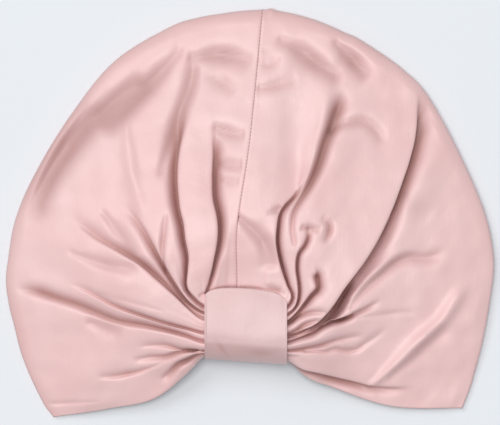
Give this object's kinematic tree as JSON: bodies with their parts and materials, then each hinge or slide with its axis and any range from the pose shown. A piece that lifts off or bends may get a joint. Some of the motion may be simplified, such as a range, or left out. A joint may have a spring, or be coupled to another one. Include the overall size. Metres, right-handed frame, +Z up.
{
  "type": "sleep bonnet",
  "caption": "Soft satin sleep bonnet lying on its back: a full arched crown pleated into a short centre band, open along the hem.",
  "frame": {"origin": "under the middle of the bonnet's box, on the surface that it lies on", "axes": "+X across the bonnet, +Y from the hem towards the top of the crown, +Z up through the front"},
  "size_m": [0.3048, 0.255, 0.0398],
  "materials": {
    "crown_satin": "pale blush satin, fine weave, soft sheen",
    "band_satin": "pale blush satin, pressed flat, soft sheen"
  },
  "bodies": {
    "root": {"crown_left": "crown_satin", "crown_right": "crown_satin", "center_band": "band_satin"}
  },
  "joints": []
}
